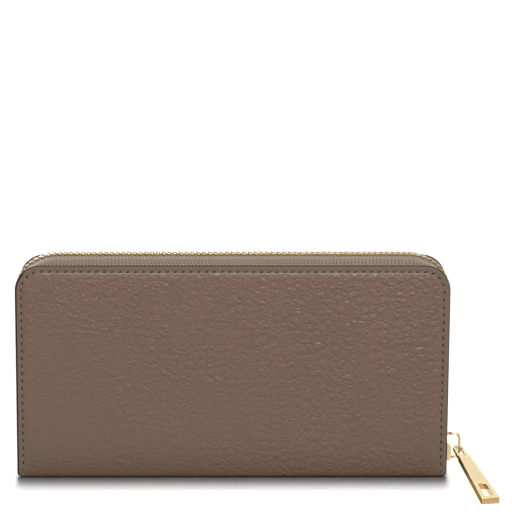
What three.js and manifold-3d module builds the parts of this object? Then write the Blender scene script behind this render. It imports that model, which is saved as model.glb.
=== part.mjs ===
// A zip-around wallet standing closed on its spine, in millimetres, +Z up.
// The origin is the middle of the spine's flat resting face. X runs along the wallet, and -Y is its front.
// Two covers hinge on the spine. Between them stand a zipped coin pocket and two banknote compartments,
// closed at their ends by folded gussets. A metal zip runs round three sides of the covers.
import * as THREE from "three";
import { mergeVertices } from "three/addons/utils/BufferGeometryUtils.js";
import Module from "manifold-3d";

const wasm = await Module();
wasm.setup();

// ---- Driving dimensions ------------------------------------------------------------------------------------
const WIDTH = 195; // along X
const PANEL_TOP = 99; // top edge of the covers
const CORNER_R = 11.6; // top corners of the covers
const LEATHER = 1.4; // outer hide
const BOARD = 0.7; // stiffener inside a cover
const LINING = 0.4;
const SLOT = 0.6; // one card slot panel
const LAYERS = 4; // card slots in a bank
const GAP = 0.1; // between neighbouring layers
const COIN_HALF = 2.7; // half the depth of the coin pocket
const BILL_DEPTH = 4.2; // free depth of a banknote compartment

// Depths are distances from the middle plane, outwards through a cover.
const SLOT_IN = COIN_HALF + BILL_DEPTH;
const LINING_IN = SLOT_IN + LAYERS * (SLOT + GAP);
const BOARD_IN = LINING_IN + LINING + GAP;
const LEATHER_IN = BOARD_IN + BOARD + GAP;
const HALF_DEPTH = LEATHER_IN + LEATHER;

const SPINE_TOP = 4; // where the spine's walls end and the covers' hinge line lies
const PANEL_BOTTOM = 4.3;
const SPINE_R = 3; // outer radius of the spine's two folds
const SPINE_LINING_TOP = 2;
const INNER_BOTTOM = 6; // lower edge of boards and card slots

const BOARD_INSET = 6.8; // board's edge, in from the cover's edge
const LINING_INSET = 2.4;
const STITCH_INSET = 2.9;
const STITCH_WIDTH = 0.5;
const STITCH_PROUD = 0.25;

// The zip's centre line lies a little above the covers along the top and a little inside them at the sides.
const ZIP_SIDE = WIDTH / 2 - 0.5;
const ZIP_TOP = PANEL_TOP + 2.4;
const ZIP_CORNER = { rx: 19.5, rz: 15 };
const TAPE = 0.6; // thickness
const TAPE_SEWN = [6.2, 1.4]; // the sewn band's insets from the cover's edge
const TAPE_DEPTH = BOARD_IN + BOARD / 2;
const TAPE_BOTTOM = 2.6;
const TEETH = { thick: 2, near: 1, far: 2.45, bottom: 5 };
const STOP = { bottom: 2.8, top: 4.8, far: 2.45 };

const SLIDER = { bottom: 5.2, top: 17.2, half: 4.6, tailHalf: 3.7, plate: 1.3, play: 0.3 };
const PLATE_PLAN = { corner: 1, rise: 1.4, tail: 1.5, shoulder: 0.62 }; // the shoulder is a share of the height
const LUG = { reach: 0.9, half: 0.9, bottom: 5.3, top: 10.8 }; // the raised block that holds the bail's lower end
const POST = { half: 0.7, bottom: 5.4, top: 7.4 };
const BAIL = { r: 0.62, reach: 5.3, low: 6, high: 17.1, upperBend: 2.6, lowerBend: 1.2 };
const PIVOT_Z = 8.8;

const PULL = { head: 4.3, tip: 51.2, headHalf: 2.2, tipHalf: 4.15, corner: 1.4, tipCorner: 0.8, thick: 3, loopThick: 1.8 };
const PULL_EYE = { from: -2.7, to: 6.4, half: 1.3 };
const PULL_WINDOW = { from: 37, to: 48.6, half: 1.9 };
const PULL_LOOP_END = 7.4; // where the loop meets the full thickness
const PULL_TURN = THREE.MathUtils.degToRad(80); // from +X round to the front
const FLOOR_CLEARANCE = 0.15;

const SLOT_TOPS = [52, 62, 72, 82]; // top edges of the card slots, from the innermost outwards
const SLOT_BANK = [1, 90]; // a bank's near and far edges along X
const SLIP_TOP = 75;

const COIN_X = 84; // half the length of the coin pocket
const COIN_TOP = 72;
const COIN_WALL = 0.6;
const COIN_TEETH = { near: 0.6, far: 1.8, bottom: 72.3, top: 73.9 };
const COIN_SLIDER = { x: 74, length: 8, half: 3.1, lowHalf: 2, plate: 1 };
const COIN_PIN_Z = 77.4;
const COIN_PIN_R = 0.5;
const COIN_EAR = { near: 1.5, far: 2.4, half: 1.3 };
const COIN_PULL = { length: 15, half: 2.3, neckHalf: 1.3, thick: 1.2, eyeR: 0.65, droop: THREE.MathUtils.degToRad(10) };

const GUSSET_THICK = 0.5;
const GUSSET_Z = [4.6, 69];
// A gusset's fold, as [x, depth]: from the card panel's edge, in to the crease, and out to the coin pocket.
const GUSSET_FOLD = [[91.7, 9.3], [91.1, 6.4], [78.2, 5.6], [77, 4.75], [78.2, 3.9], [86, 3.2]];

// ---- Materials ---------------------------------------------------------------------------------------------
const finish = (color, roughness, metalness = 0) => new THREE.MeshStandardMaterial({ color, roughness, metalness });
const hide = finish(0x77614f, 0.6);
const slotLeather = finish(0x7a6656, 0.62);
const bonded = finish(0x4a3a2e, 0.9);
const lining = finish(0x8a7564, 0.85);
const tapeCloth = finish(0x947f70, 0.9);
const thread = finish(0x54433a, 0.8);
const gold = finish(0xe6c069, 0.25, 1);

// ---- Shape helpers -----------------------------------------------------------------------------------------
function named(name, geometry, material) {
  const mesh = new THREE.Mesh(geometry, material);
  mesh.name = name;
  return mesh;
}

function block(name, [x0, x1], [y0, y1], [z0, z1], material) {
  const mesh = named(name, new THREE.BoxGeometry(x1 - x0, y1 - y0, z1 - z0), material);
  mesh.position.set((x0 + x1) / 2, (y0 + y1) / 2, (z0 + z1) / 2);
  return mesh;
}

// A slab of the given outline in XZ, from depth near to depth far on the front side.
function slab(name, outline, near, far, material) {
  const geometry = new THREE.ExtrudeGeometry(outline, { depth: far - near, bevelEnabled: false, curveSegments: 8 });
  const mesh = named(name, geometry, material);
  mesh.rotation.x = Math.PI / 2;
  mesh.position.y = -near;
  return mesh;
}

// A bar of the given outline in YZ, from x0 to x1.
function barGeometry(outline, x0, x1) {
  const axis = new THREE.Vector3(1, 1, 1).normalize();
  return new THREE.ExtrudeGeometry(outline, { depth: x1 - x0, bevelEnabled: false, curveSegments: 6 })
    .applyQuaternion(new THREE.Quaternion().setFromAxisAngle(axis, (2 * Math.PI) / 3))
    .translate(x0, 0, 0);
}

// A manifold-3d solid of a closed geometry.
function solidOf(geometry) {
  const bare = (geometry.index ? geometry.toNonIndexed() : geometry.clone());
  bare.deleteAttribute("normal");
  bare.deleteAttribute("uv");
  const merged = mergeVertices(bare, 1e-4);
  const vertProperties = merged.attributes.position.array;
  return new wasm.Manifold(new wasm.Mesh({ numProp: 3, vertProperties, triVerts: new Uint32Array(merged.index.array) }));
}

function geometryOf(solid) {
  const made = solid.getMesh();
  const geometry = new THREE.BufferGeometry();
  geometry.setAttribute("position", new THREE.BufferAttribute(new Float32Array(made.vertProperties), 3));
  geometry.setIndex(new THREE.BufferAttribute(new Uint32Array(made.triVerts), 1));
  return geometry;
}

// A line's direction at one of its points: the mean of the directions of the two steps that meet there.
function tangent(line, k) {
  const steps = [k - 1, k].filter((i) => i >= 0 && i < line.length - 1);
  return steps.reduce((sum, i) => sum.add(line[i + 1].clone().sub(line[i]).normalize()), new THREE.Vector3());
}

// A closed sheet of even thickness round a grid of points: rows run along the sheet, columns across it.
function sheetGeometry(grid, thickness) {
  const rows = grid.length;
  const columns = grid[0].length;
  const faces = [1, -1].map((side) =>
    grid.map((row, i) =>
      row.map((point, j) => {
        const normal = tangent(grid.map((other) => other[j]), i).cross(tangent(row, j)).normalize();
        return normal.multiplyScalar((side * thickness) / 2).add(point);
      }),
    ),
  );
  const positions = [];
  const quad = (a, b, c, d) => [a, b, c, a, c, d].forEach((p) => positions.push(p.x, p.y, p.z));
  const [top, under] = faces;
  for (let i = 0; i < rows - 1; i++) {
    for (let j = 0; j < columns - 1; j++) {
      quad(top[i][j], top[i + 1][j], top[i + 1][j + 1], top[i][j + 1]);
      quad(under[i][j], under[i][j + 1], under[i + 1][j + 1], under[i + 1][j]);
    }
    quad(top[i][0], under[i][0], under[i + 1][0], top[i + 1][0]);
    quad(top[i][columns - 1], top[i + 1][columns - 1], under[i + 1][columns - 1], under[i][columns - 1]);
  }
  for (let j = 0; j < columns - 1; j++) {
    quad(top[0][j], top[0][j + 1], under[0][j + 1], under[0][j]);
    quad(top[rows - 1][j], under[rows - 1][j], under[rows - 1][j + 1], top[rows - 1][j + 1]);
  }
  return new THREE.BufferGeometry().setAttribute("position", new THREE.Float32BufferAttribute(positions, 3));
}

// ---- Outlines and paths ------------------------------------------------------------------------------------
// The cover's outline, drawn in by inset, down to a straight lower edge.
function coverOutline(inset, bottom) {
  const side = WIDTH / 2 - inset;
  const top = PANEL_TOP - inset;
  const r = CORNER_R - inset;
  const outline = new THREE.Shape();
  outline.moveTo(-side, bottom);
  outline.lineTo(side, bottom);
  outline.lineTo(side, top - r);
  outline.absarc(side - r, top - r, r, 0, Math.PI / 2);
  outline.lineTo(-side + r, top);
  outline.absarc(-side + r, top - r, r, Math.PI / 2, Math.PI);
  outline.closePath();
  return outline;
}

const CORNER_STEPS = 7;

// Stations up the right side, over the top and down the left: the cover's edge point, its outward normal, and
// the matching point of the zip's centre line.
function stations(bottom) {
  const found = [];
  const add = (x, z, nx, nz, zipX, zipZ) =>
    found.push({ edge: new THREE.Vector3(x, 0, z), out: new THREE.Vector3(nx, 0, nz), zip: new THREE.Vector3(zipX, 0, zipZ) });
  const { rx, rz } = ZIP_CORNER;
  const corner = (sign) => {
    for (let k = 0; k <= CORNER_STEPS; k++) {
      const step = sign > 0 ? k : CORNER_STEPS - k;
      const angle = (step / CORNER_STEPS) * (Math.PI / 2);
      const [c, s] = [Math.cos(angle), Math.sin(angle)];
      add(
        sign * (WIDTH / 2 - CORNER_R + CORNER_R * c), PANEL_TOP - CORNER_R + CORNER_R * s, sign * c, s,
        sign * (ZIP_SIDE - rx + rx * c), ZIP_TOP - rz + rz * s,
      );
    }
  };
  add(WIDTH / 2, bottom, 1, 0, ZIP_SIDE, bottom);
  corner(1);
  corner(-1);
  add(-WIDTH / 2, bottom, -1, 0, -ZIP_SIDE, bottom);
  return found;
}

const atDepth = (point, depth) => new THREE.Vector3(point.x, -depth, point.z);

// ---- The covers, built as the front one; the back one is its mirror image -----------------------------------
function zipTape() {
  const grid = stations(TAPE_BOTTOM).map(({ edge, out, zip }) => {
    const sewn = TAPE_SEWN.map((inset) => atDepth(edge.clone().addScaledVector(out, -inset), TAPE_DEPTH));
    const rise = atDepth(edge.clone().addScaledVector(out, -0.5), TAPE_DEPTH - 1.6);
    const curve = new THREE.CubicBezierCurve3(sewn[1], rise, atDepth(zip, 8), atDepth(zip, 4.8));
    return [sewn[0], ...curve.getPoints(6), atDepth(zip, TEETH.far + GAP)];
  });
  return sheetGeometry(grid, TAPE);
}

function zipTeeth() {
  const grid = stations(TEETH.bottom).map(({ zip }) => [atDepth(zip, TEETH.far), atDepth(zip, TEETH.near)]);
  return sheetGeometry(grid, TEETH.thick);
}

function stitchLine() {
  const depth = HALF_DEPTH + 0.05 + STITCH_PROUD / 2;
  const grid = stations(INNER_BOTTOM).map(({ edge, out }) =>
    [STITCH_INSET + STITCH_WIDTH / 2, STITCH_INSET - STITCH_WIDTH / 2].map((inset) =>
      atDepth(edge.clone().addScaledVector(out, -inset), depth),
    ),
  );
  return sheetGeometry(grid, STITCH_PROUD);
}

// Card slots of one bank, each a panel reaching a step higher than the one in front of it.
function cardBank(cover, side, sign) {
  const span = SLOT_BANK.map((x) => sign * x).sort((a, b) => a - b);
  return SLOT_TOPS.map((top, k) => {
    const near = SLOT_IN + k * (SLOT + GAP);
    return block(`card_slot_${cover}_${side}_${k + 1}`, span, [-near - SLOT, -near], [INNER_BOTTOM, top], slotLeather);
  });
}

function slipPocket() {
  const near = LINING_IN - SLOT - GAP;
  return block("slip_pocket_back_right", SLOT_BANK, [-near - SLOT, -near], [INNER_BOTTOM, SLIP_TOP], slotLeather);
}

function coverGroup(cover) {
  const group = new THREE.Group();
  const x = [ZIP_SIDE - TEETH.thick / 2, ZIP_SIDE + TEETH.thick / 2];
  group.add(
    slab(`${cover}_cover_leather`, coverOutline(0, PANEL_BOTTOM), LEATHER_IN, HALF_DEPTH, hide),
    slab(`${cover}_cover_board`, coverOutline(BOARD_INSET, INNER_BOTTOM), BOARD_IN, BOARD_IN + BOARD, bonded),
    slab(`${cover}_lining`, coverOutline(LINING_INSET, PANEL_BOTTOM + 0.3), LINING_IN, LINING_IN + LINING, lining),
    named(`${cover}_zip_tape`, zipTape(), tapeCloth),
    named(`${cover}_zip_teeth`, zipTeeth(), gold),
    named(`${cover}_stitching`, stitchLine(), thread),
    block(`${cover}_zip_top_stop`, x, [-STOP.far, -TEETH.near], [STOP.bottom, STOP.top], gold),
    ...cardBank(cover, "left", -1),
  );
  return group;
}

// ---- The spine, the coin pocket and the gussets ---------------------------------------------------------------
function spineOutline() {
  const inner = HALF_DEPTH - LEATHER;
  const r = SPINE_R - LEATHER;
  const outline = new THREE.Shape();
  outline.moveTo(-HALF_DEPTH, SPINE_TOP);
  outline.absarc(-HALF_DEPTH + SPINE_R, SPINE_R, SPINE_R, Math.PI, 1.5 * Math.PI);
  outline.absarc(HALF_DEPTH - SPINE_R, SPINE_R, SPINE_R, 1.5 * Math.PI, 2 * Math.PI);
  outline.lineTo(HALF_DEPTH, SPINE_TOP);
  outline.lineTo(inner, SPINE_TOP);
  outline.absarc(inner - r, LEATHER + r, r, 0, -Math.PI / 2, true);
  outline.absarc(-inner + r, LEATHER + r, r, -Math.PI / 2, -Math.PI, true);
  outline.lineTo(-inner, SPINE_TOP);
  outline.closePath();
  return outline;
}

function coinBag() {
  const bottom = SPINE_LINING_TOP + GAP;
  const outer = new THREE.BoxGeometry(2 * COIN_X, 2 * COIN_HALF, COIN_TOP - bottom);
  outer.translate(0, 0, (COIN_TOP + bottom) / 2);
  const hollow = new THREE.BoxGeometry(2 * (COIN_X - COIN_WALL), 2 * (COIN_HALF - COIN_WALL), COIN_TOP - bottom);
  hollow.translate(0, 0, (COIN_TOP + bottom) / 2 + COIN_WALL);
  return geometryOf(solidOf(outer).subtract(solidOf(hollow)));
}

// The coin pocket's zip: a tape and a row of teeth on each wall's top edge, with a stop at each end.
function coinZip() {
  const span = [-COIN_X + 2, COIN_X - 2];
  const z = [COIN_TEETH.bottom, COIN_TEETH.top];
  const halves = [["front", -1], ["back", 1]].flatMap(([side, sign]) => {
    const tapeY = [sign * (COIN_HALF - 0.05), sign * (COIN_TEETH.far + GAP)].sort((a, b) => a - b);
    const teethY = [sign * COIN_TEETH.far, sign * COIN_TEETH.near].sort((a, b) => a - b);
    return [
      block(`coin_zip_tape_${side}`, span, tapeY, [COIN_TOP + GAP, COIN_TEETH.top - 0.3], tapeCloth),
      block(`coin_zip_teeth_${side}`, [-COIN_X + 4, COIN_X - 4], teethY, z, gold),
    ];
  });
  const stops = [["left", -1], ["right", 1]].map(([side, sign]) => {
    const x = [sign * (COIN_X - 3.8), sign * (COIN_X - 2)].sort((a, b) => a - b);
    return block(`coin_zip_stop_${side}`, x, [-COIN_TEETH.far, COIN_TEETH.far], z, gold);
  });
  return [...halves, ...stops];
}

function gusset(cover, side, ySign, xSign) {
  const grid = GUSSET_Z.map((z) => GUSSET_FOLD.map(([x, depth]) => new THREE.Vector3(x, -depth, z)));
  const mesh = named(`gusset_${cover}_${side}`, sheetGeometry(grid, GUSSET_THICK), hide);
  mesh.scale.set(xSign, ySign, 1);
  return mesh;
}

function spineGroup() {
  const group = new THREE.Group();
  const flat = HALF_DEPTH - LEATHER - 1.4;
  const x = [-ZIP_SIDE - TEETH.thick / 2, -ZIP_SIDE + TEETH.thick / 2];
  group.add(
    named("spine_leather", barGeometry(spineOutline(), -WIDTH / 2, WIDTH / 2), hide),
    block("spine_lining", [-WIDTH / 2 + 2, WIDTH / 2 - 2], [-flat, flat], [LEATHER + GAP, SPINE_LINING_TOP], lining),
    named("coin_pocket_bag", coinBag(), lining),
    ...coinZip(),
    block("zip_bottom_stop", x, [-STOP.far, STOP.far], [STOP.bottom, STOP.top], gold),
  );
  for (const [cover, ySign] of [["front", 1], ["back", -1]])
    for (const [side, xSign] of [["right", 1], ["left", -1]]) group.add(gusset(cover, side, ySign, xSign));
  return group;
}

// ---- The main slider and its pull ------------------------------------------------------------------------------
const PLATE_IN = ZIP_SIDE + TEETH.thick / 2 + SLIDER.play; // inner face of the outer plate

// A slider plate in YZ: wide at the mouth, narrower at the tail.
function platePlan(half, tailHalf) {
  const { corner, rise, tail } = PLATE_PLAN;
  const { bottom, top } = SLIDER;
  const shoulder = bottom + PLATE_PLAN.shoulder * (top - bottom);
  const plan = new THREE.Shape();
  plan.moveTo(-half + corner, bottom);
  plan.lineTo(half - corner, bottom);
  plan.quadraticCurveTo(half, bottom, half, bottom + rise);
  plan.lineTo(half, shoulder);
  plan.quadraticCurveTo(tailHalf, top - tail, tailHalf - corner, top);
  plan.lineTo(-tailHalf + corner, top);
  plan.quadraticCurveTo(-tailHalf, top - tail, -half, shoulder);
  plan.lineTo(-half, bottom + rise);
  plan.quadraticCurveTo(-half, bottom, -half + corner, bottom);
  return plan;
}

function sliderBody() {
  const plan = platePlan(SLIDER.half, SLIDER.tailHalf);
  const innerFace = ZIP_SIDE - TEETH.thick / 2 - SLIDER.play;
  const outer = solidOf(barGeometry(plan, PLATE_IN, PLATE_IN + SLIDER.plate));
  const inner = solidOf(barGeometry(plan, innerFace - SLIDER.plate, innerFace));
  const post = new THREE.BoxGeometry(PLATE_IN - innerFace + 0.8, 2 * POST.half, POST.top - POST.bottom);
  post.translate(ZIP_SIDE, 0, (POST.bottom + POST.top) / 2);
  const lug = new THREE.BoxGeometry(LUG.reach + 0.4, 2 * LUG.half, LUG.top - LUG.bottom);
  lug.translate(PLATE_IN + SLIDER.plate + LUG.reach / 2 - 0.2, 0, (LUG.top + LUG.bottom) / 2);
  return geometryOf(outer.add(inner).add(solidOf(post)).add(solidOf(lug)));
}

// The bail is a round wire arch on the outer plate, in the XZ plane. Its lower end meets the lug.
function bailGeometry() {
  const foot = PLATE_IN + SLIDER.plate + GAP;
  const bar = foot + BAIL.reach - BAIL.r;
  const at = (x, z) => new THREE.Vector3(x, 0, z);
  const { upperBend: upper, lowerBend: lower } = BAIL;
  const arch = new THREE.CurvePath();
  arch.add(new THREE.LineCurve3(at(foot, BAIL.high), at(bar - upper, BAIL.high)));
  arch.add(new THREE.QuadraticBezierCurve3(at(bar - upper, BAIL.high), at(bar, BAIL.high), at(bar, BAIL.high - upper)));
  arch.add(new THREE.LineCurve3(at(bar, BAIL.high - upper), at(bar, BAIL.low + lower)));
  arch.add(new THREE.QuadraticBezierCurve3(at(bar, BAIL.low + lower), at(bar, BAIL.low), at(bar - lower, BAIL.low)));
  arch.add(new THREE.LineCurve3(at(bar - lower, BAIL.low), at(foot + LUG.reach, BAIL.low)));
  const section = new THREE.Shape();
  section.absarc(0, 0, BAIL.r, 0, 2 * Math.PI);
  return new THREE.ExtrudeGeometry(section, { steps: 30, extrudePath: arch, curveSegments: 5 });
}

const PIVOT = new THREE.Vector3(PLATE_IN + SLIDER.plate + GAP + BAIL.reach - BAIL.r, 0, PIVOT_Z);

// The pull's plan, with x from the pivot towards the tip.
function pullPlan() {
  const { head, tip, headHalf, tipHalf, corner, tipCorner } = PULL;
  const plan = new THREE.Shape();
  plan.moveTo(-head + corner, -headHalf);
  plan.lineTo(tip - tipCorner, -tipHalf);
  plan.quadraticCurveTo(tip, -tipHalf, tip, -tipHalf + tipCorner);
  plan.lineTo(tip, tipHalf - tipCorner);
  plan.quadraticCurveTo(tip, tipHalf, tip - tipCorner, tipHalf);
  plan.lineTo(-head + corner, headHalf);
  plan.quadraticCurveTo(-head, headHalf, -head, headHalf - corner);
  plan.lineTo(-head, -headHalf + corner);
  plan.quadraticCurveTo(-head, -headHalf, -head + corner, -headHalf);
  for (const { from, to, half } of [PULL_EYE, PULL_WINDOW]) {
    const hole = new THREE.Path();
    hole.moveTo(from, -half);
    hole.lineTo(from, half);
    hole.lineTo(to, half);
    hole.lineTo(to, -half);
    hole.closePath();
    plan.holes.push(hole);
  }
  return plan;
}

// The pull is thinner where it loops over the bail.
function pullGeometry() {
  const plate = new THREE.ExtrudeGeometry(pullPlan(), { depth: PULL.thick, bevelEnabled: false, curveSegments: 4 });
  plate.translate(0, 0, -PULL.thick / 2);
  const step = (PULL.thick - PULL.loopThick) / 2;
  const start = -PULL.head - 1; // the cutters stand out past the head
  const cutters = [1, -1].map((side) => {
    const cutter = new THREE.BoxGeometry(PULL_LOOP_END - start, 4 * PULL.tipHalf, step + 1);
    cutter.translate((PULL_LOOP_END + start) / 2, 0, side * (PULL.loopThick / 2 + (step + 1) / 2));
    return solidOf(cutter);
  });
  return geometryOf(cutters.reduce((left, cutter) => left.subtract(cutter), solidOf(plate)));
}

// How far the pull dips below level for the lower edge of its tip to rest on the floor.
function restingDip() {
  let dip = 0;
  for (let i = 0; i < 20; i++)
    dip = Math.asin((PIVOT_Z - FLOOR_CLEARANCE - (PULL.thick / 2) * Math.cos(dip)) / PULL.tip);
  return dip;
}

function mainSlider() {
  const group = new THREE.Group();
  const pull = named("zip_pull", pullGeometry(), gold);
  pull.position.copy(PIVOT);
  pull.rotation.set(0, restingDip(), -PULL_TURN, "ZYX");
  group.add(named("zip_slider_body", sliderBody(), gold), named("zip_slider_bail", bailGeometry(), gold), pull);
  return group;
}

// ---- The coin pocket's slider and pull ---------------------------------------------------------------------------
function coinSliderBody() {
  const { length, half, lowHalf, plate } = COIN_SLIDER;
  const boxes = [
    [length, 2 * half, plate, 0, 0, COIN_TEETH.top + 0.2 + plate / 2],
    [length, 2 * lowHalf, plate, 0, 0, COIN_TEETH.bottom - 0.2 - plate / 2],
    [1.6, 0.9, COIN_TEETH.top - COIN_TEETH.bottom + 1, length / 2 - 1.2, 0, (COIN_TEETH.top + COIN_TEETH.bottom) / 2],
  ];
  const earBottom = COIN_TEETH.top + 0.2 + plate / 2;
  const earTop = COIN_PIN_Z + 1.2;
  const earY = (COIN_EAR.near + COIN_EAR.far) / 2;
  for (const side of [-1, 1])
    boxes.push([2 * COIN_EAR.half, COIN_EAR.far - COIN_EAR.near, earTop - earBottom, 0, side * earY, (earTop + earBottom) / 2]);
  const pinHole = new THREE.CylinderGeometry(COIN_PIN_R + 0.05, COIN_PIN_R + 0.05, 8, 16);
  pinHole.translate(0, 0, COIN_PIN_Z);
  return geometryOf(
    boxes
      .map(([lx, ly, lz, x, y, z]) => solidOf(new THREE.BoxGeometry(lx, ly, lz).translate(x, y, z)))
      .reduce((all, one) => all.add(one))
      .subtract(solidOf(pinHole)),
  );
}

function coinPull() {
  const { length, half, neckHalf, thick, eyeR } = COIN_PULL;
  const plan = new THREE.Shape();
  plan.moveTo(-3, -neckHalf);
  plan.lineTo(-3, -half);
  plan.lineTo(-length, -half);
  plan.lineTo(-length, half);
  plan.lineTo(-3, half);
  plan.lineTo(-3, neckHalf);
  plan.lineTo(1.2, neckHalf);
  plan.lineTo(1.2, -neckHalf);
  plan.closePath();
  const plate = new THREE.ExtrudeGeometry(plan, { depth: thick, bevelEnabled: false }).translate(0, 0, -thick / 2);
  const barrel = new THREE.CylinderGeometry(1.15, 1.15, 2 * neckHalf, 16);
  const bore = new THREE.CylinderGeometry(eyeR, eyeR, 4 * neckHalf, 16);
  return geometryOf(solidOf(plate).add(solidOf(barrel)).subtract(solidOf(bore)));
}

function coinSlider() {
  const group = new THREE.Group();
  const pin = named("coin_pull_pin", new THREE.CylinderGeometry(COIN_PIN_R, COIN_PIN_R, 2 * COIN_EAR.far, 16), gold);
  const pull = named("coin_pull", coinPull(), gold);
  pin.position.z = COIN_PIN_Z;
  pull.position.z = COIN_PIN_Z;
  pull.rotation.y = -COIN_PULL.droop;
  group.add(named("coin_slider_body", coinSliderBody(), gold), pin, pull);
  group.position.x = COIN_SLIDER.x;
  return group;
}

// ---- The wallet -----------------------------------------------------------------------------------------------
const front = coverGroup("front");
front.add(...cardBank("front", "right", 1));
const back = coverGroup("back");
back.add(slipPocket());
back.scale.y = -1;

const wallet = new THREE.Group();
wallet.add(spineGroup(), front, back, mainSlider(), coinSlider());
export default wallet;
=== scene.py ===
"""The looks of a zip-around wallet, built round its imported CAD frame.

Lengths below are in millimetres, in the frame's own axes, and are turned into metres where a mesh
is made. The front cover faces -Y. Every cover piece is designed as the front one, and the back one
is its mirror image.
"""

import math

import bmesh
import bpy
import numpy as np
from mathutils import Matrix, Vector


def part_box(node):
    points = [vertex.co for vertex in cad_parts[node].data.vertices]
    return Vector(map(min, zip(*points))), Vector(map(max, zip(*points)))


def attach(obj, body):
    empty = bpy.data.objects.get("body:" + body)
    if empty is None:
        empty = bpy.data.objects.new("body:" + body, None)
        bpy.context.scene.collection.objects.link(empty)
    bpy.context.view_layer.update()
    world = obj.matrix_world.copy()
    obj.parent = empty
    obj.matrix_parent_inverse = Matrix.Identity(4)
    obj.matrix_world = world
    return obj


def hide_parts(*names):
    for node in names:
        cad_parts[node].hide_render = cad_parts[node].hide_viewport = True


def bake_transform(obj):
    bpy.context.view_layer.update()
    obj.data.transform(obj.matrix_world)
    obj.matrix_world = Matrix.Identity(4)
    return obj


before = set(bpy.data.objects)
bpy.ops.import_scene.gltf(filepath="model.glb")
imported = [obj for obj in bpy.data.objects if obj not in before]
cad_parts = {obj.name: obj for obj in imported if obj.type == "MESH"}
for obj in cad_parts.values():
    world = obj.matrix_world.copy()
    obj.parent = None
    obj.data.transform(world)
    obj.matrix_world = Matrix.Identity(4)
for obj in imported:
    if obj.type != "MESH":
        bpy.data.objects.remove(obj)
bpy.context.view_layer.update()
MM = 0.001


def box_mm(node):
    low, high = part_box(node)
    return np.array(low) / MM, np.array(high) / MM


def set_all(item, settings):
    for name, value in settings.items():
        setattr(item, name, value)


# ---- Sizes, read from the frame or set by the same design as its solids
PANEL_LOW, PANEL_HIGH = box_mm("front_cover_leather")
HALF_WIDTH = PANEL_HIGH[0]
PANEL_TOP = PANEL_HIGH[2]
HALF_DEPTH = -PANEL_LOW[1]
HIDE = PANEL_HIGH[1] - PANEL_LOW[1]
CORNER_R = 11.6
SPINE_R = 1.3  # the fold at the foot of each cover
FOOT_R = 2.6  # the panel's lower corners, seen from the front

STOP_LOW, STOP_HIGH = box_mm("front_zip_top_stop")
TEETH_LOW, TEETH_HIGH = box_mm("front_zip_teeth")
ZIP_THICK = STOP_HIGH[0] - STOP_LOW[0]
ZIP_SIDE = (STOP_HIGH[0] + STOP_LOW[0]) / 2
ZIP_TOP = TEETH_HIGH[2] - ZIP_THICK / 2
ZIP_FAR = -TEETH_LOW[1]
ZIP_CORNER = (19.5, 15.0)  # radii along X and Z
TAPE_LOW = box_mm("front_zip_tape")[0]
TAPE_THICK = 0.6
TAPE_DEPTH = -TAPE_LOW[1] - TAPE_THICK / 2
TAPE_SEWN = (6.2, 1.4)  # the sewn band's insets from the cover's edge
TOOTH_PITCH = 2.6
TOOTH_MARGINS = (0.4, 0.6)  # before the first tooth's place and after the last one's
ROW_START = {"front": 0.25, "back": 0.75}  # in pitches: half a pitch apart, the two rows mesh

STITCH_INSET = 2.9
STITCH_PITCH = 3.5
GRAIN_STEP = 0.48  # size of the hide's mesh
CELL_STRETCH = 1.1  # how much longer than high the pebbles are
SEED = 7


# ---- Meshes
def face_outwards(mesh):
    """Turns the faces of closed shapes to point out."""
    shape = bmesh.new()
    shape.from_mesh(mesh)
    bmesh.ops.recalc_face_normals(shape, faces=shape.faces)
    shape.to_mesh(mesh)
    shape.free()


def shade_smooth(mesh):
    mesh.polygons.foreach_set("use_smooth", np.full(len(mesh.polygons), True))


def mesh_object(name, points, faces, materials, face_materials=None, closed=True, uv=None):
    """A new object from points in millimetres. uv holds one pair for each point, in millimetres."""
    mesh = bpy.data.meshes.new(name)
    mesh.from_pydata((np.asarray(points, float) * MM).tolist(), [], faces)
    for material in materials:
        mesh.materials.append(material)
    if face_materials is not None:
        mesh.polygons.foreach_set("material_index", np.asarray(face_materials, np.int32))
    if uv is not None:
        corners = np.zeros(len(mesh.loops), np.int32)
        mesh.loops.foreach_get("vertex_index", corners)
        layer = mesh.uv_layers.new(name="surface")
        layer.data.foreach_set("uv", (np.asarray(uv, float) * MM)[corners].ravel())
    shade_smooth(mesh)
    if closed:
        face_outwards(mesh)
    mesh.update()
    made = bpy.data.objects.new(name, mesh)
    bpy.context.scene.collection.objects.link(made)
    return made


def unit(vectors):
    """Vectors scaled to a length of one."""
    return vectors / (np.linalg.norm(vectors, axis=-1, keepdims=True) + 1e-9)


def lengths_along(line):
    """How far along a line of points each of them lies."""
    return np.concatenate([[0], np.cumsum(np.linalg.norm(np.diff(line, axis=0), axis=1))])


def points_at(line, lengths, positions):
    """Points of a line of two columns, at the given positions along it."""
    return np.stack([np.interp(positions, lengths, line[:, k]) for k in (0, 1)], 1)


def full_turn(steps):
    return np.linspace(0, 2 * math.pi, steps, endpoint=False)


def ring_round(side, sides):
    """Unit circles round a line in the plane Y = 0, given the sideways direction at each point."""
    turn = full_turn(sides)
    forwards = np.array([0, 1, 0])
    return side[:, None, :] * np.cos(turn)[None, :, None] + forwards * np.sin(turn)[None, :, None]


def grid_faces(rows, columns, start=0, closed=False):
    """Quads of a grid of points stored row by row; closed joins each row's last point to its first."""
    i = np.arange(rows - 1)[:, None]
    j = np.arange(columns if closed else columns - 1)[None, :]
    a = i * columns + j
    b = i * columns + (j + 1) % columns
    quads = np.stack([a, b, b + columns, a + columns], -1).reshape(-1, 4) + start
    return quads.tolist()


def for_side(cover, points, faces):
    """The shape itself for the front, and for the back its mirror image between the covers."""
    if cover == "front":
        return points, faces
    return np.asarray(points) * [1, -1, 1], [list(face)[::-1] for face in faces]


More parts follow.
